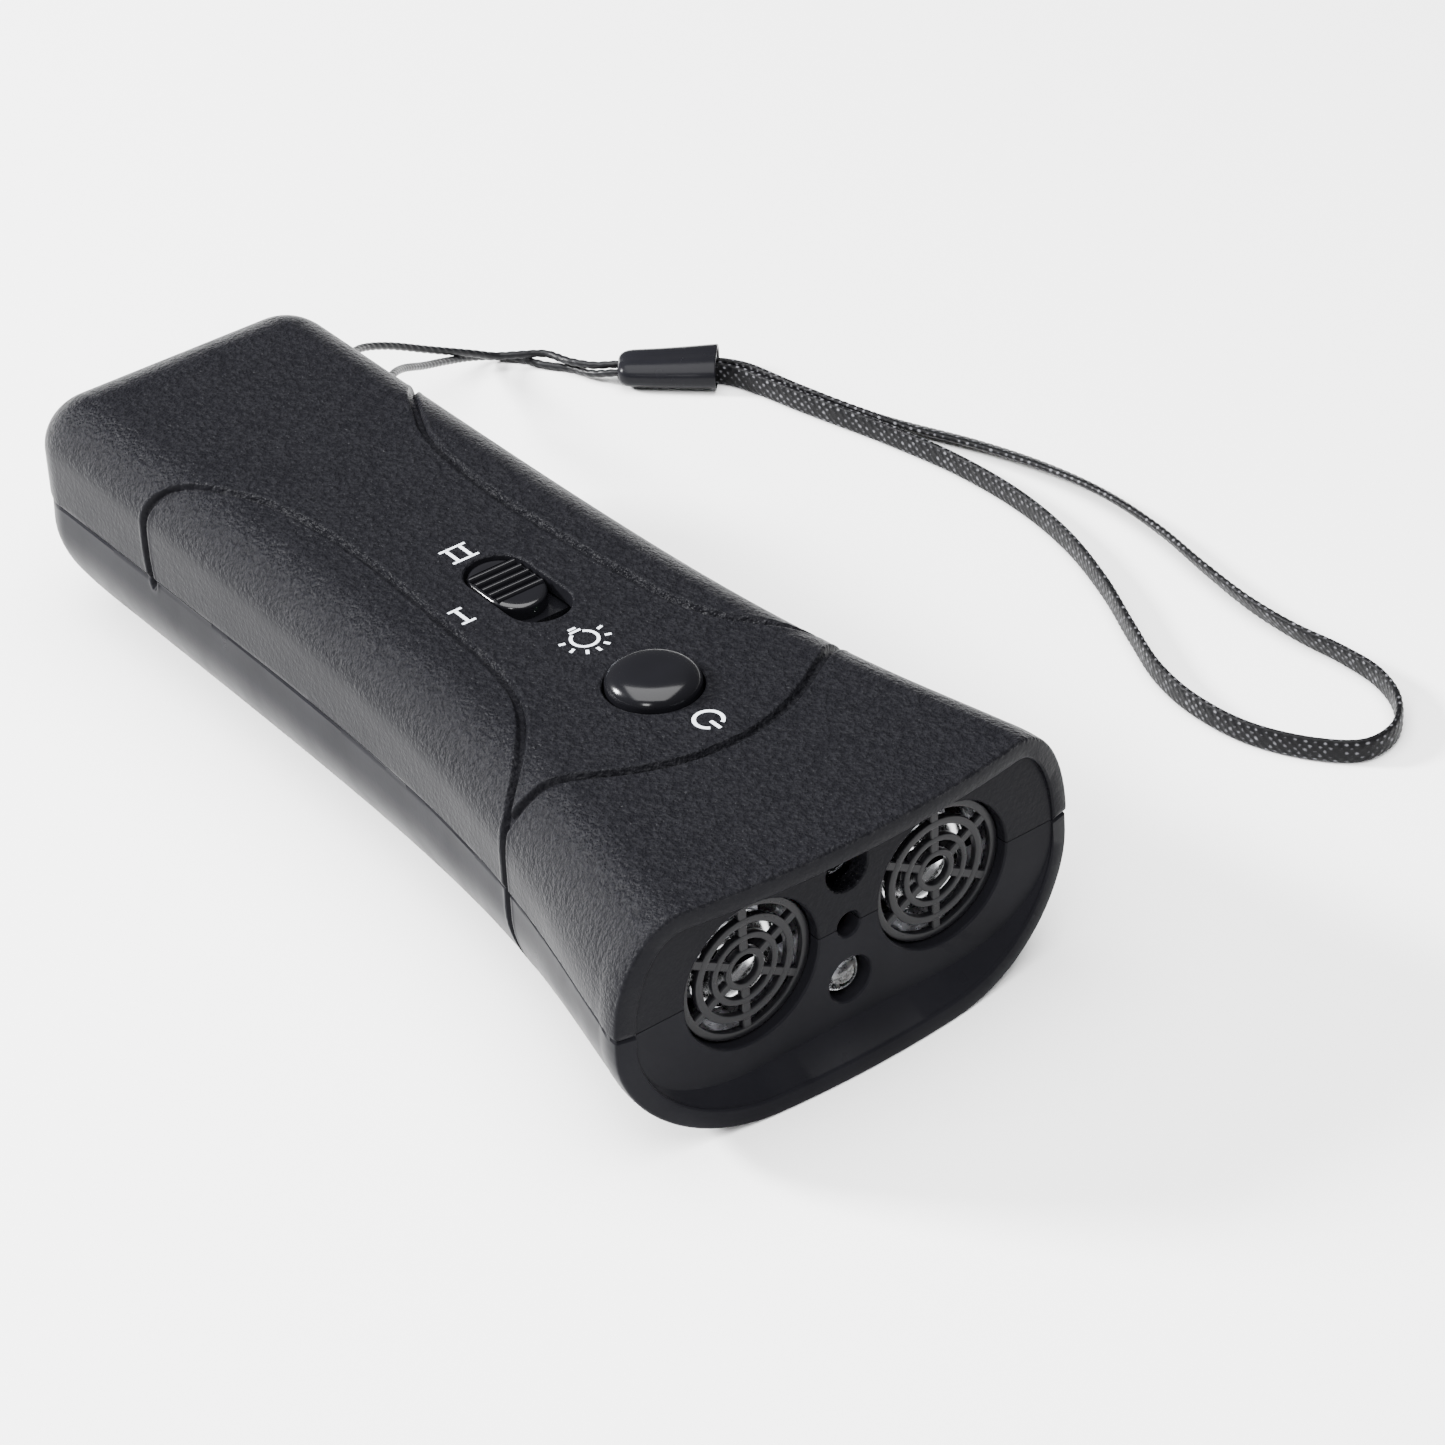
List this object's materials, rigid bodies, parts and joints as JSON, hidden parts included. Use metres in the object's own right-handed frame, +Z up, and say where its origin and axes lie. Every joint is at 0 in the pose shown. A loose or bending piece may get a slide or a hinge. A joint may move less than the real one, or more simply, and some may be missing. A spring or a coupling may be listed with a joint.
{
  "type": "ultrasonic pest repeller",
  "caption": "Handheld ultrasonic pest repeller: flared head with recessed emitters and lamps, press button, slide switch, battery cover and a braided wrist strap on a cord.",
  "frame": {"origin": "middle of the casing, on the surface that it rests on; the lanyard cord, its crimp and the wrist strap are left out of this", "axes": "+Z up through the button and switch, -Y the way the emitters and lamps point, +Y along the handle to its end, +X to the side that carries the strap's eye"},
  "size_m": [0.1174, 0.1382, 0.0312],
  "materials": {
    "casing_black": "fine grained black ABS, satin on the lower walls",
    "grille_black": "smooth black plastic",
    "knob_gloss": "polished black plastic",
    "button_satin": "satin gloss black plastic",
    "can_aluminium": "drawn aluminium, matt",
    "horn_aluminium": "bright spun aluminium",
    "led_clear": "clear cast epoxy",
    "led_red": "tinted cast epoxy",
    "board_green": "green solder mask",
    "component_black": "moulded black epoxy",
    "switch_steel": "tinned steel",
    "capacitor_sleeve": "dark shrink sleeve",
    "battery_jacket": "printed metal jacket",
    "wire_red": "soft red insulation",
    "wire_black": "soft black insulation",
    "foam_grey": "open-cell foam",
    "screw_steel": "zinc plated steel",
    "cord_black": "thin waxed nylon cord",
    "crimp_black": "moulded black sleeve, semi-gloss",
    "strap_braid": "flat braided black polyester with pale flecks"
  },
  "bodies": {
    "casing": {"top_shell": "casing_black", "bottom_shell": "casing_black", "left_grille": "grille_black", "right_grille": "grille_black", "left_transducer_can": "can_aluminium", "right_transducer_can": "can_aluminium", "left_transducer_cone": "horn_aluminium", "right_transducer_cone": "horn_aluminium", "left_transducer_base": "component_black", "right_transducer_base": "component_black", "upper_lamp_led": "led_clear", "lower_lamp_led": "led_clear", "indicator_led": "led_red", "button_switch_body": "switch_steel", "mode_switch_body": "switch_steel", "circuit_board": "board_green", "driver_chip": "component_black", "storage_capacitor": "capacitor_sleeve", "boost_inductor": "component_black", "driver_transistor": "component_black", "battery": "battery_jacket", "battery_snap": "component_black", "red_battery_wire": "wire_red", "black_battery_wire": "wire_black", "battery_foam_pad": "foam_grey", "front_left_case_screw": "screw_steel", "front_right_case_screw": "screw_steel", "rear_left_case_screw": "screw_steel", "rear_right_case_screw": "screw_steel", "left_board_screw": "screw_steel", "right_board_screw": "screw_steel", "lanyard_cord": "cord_black", "lanyard_crimp": "crimp_black", "wrist_strap": "strap_braid"},
    "button": {"trigger_button": "button_satin", "button_switch_plunger": "component_black"},
    "mode_selector": {"mode_knob": "knob_gloss", "mode_switch_slider": "component_black"},
    "cover": {"battery_cover": "casing_black"}
  },
  "joints": [
    {"name": "button_press", "type": "slide", "parent": "casing", "child": "button", "axis": [0, 0, -1], "range_m": [0, 0.0008], "stiffness_N_per_m": 800},
    {"name": "mode_slide", "type": "slide", "parent": "casing", "child": "mode_selector", "axis": [0, -1, 0], "range_m": [0, 0.004]},
    {"name": "cover_slide", "type": "slide", "parent": "casing", "child": "cover", "axis": [0, 1, 0], "range_m": [0, 0.058]}
  ]
}
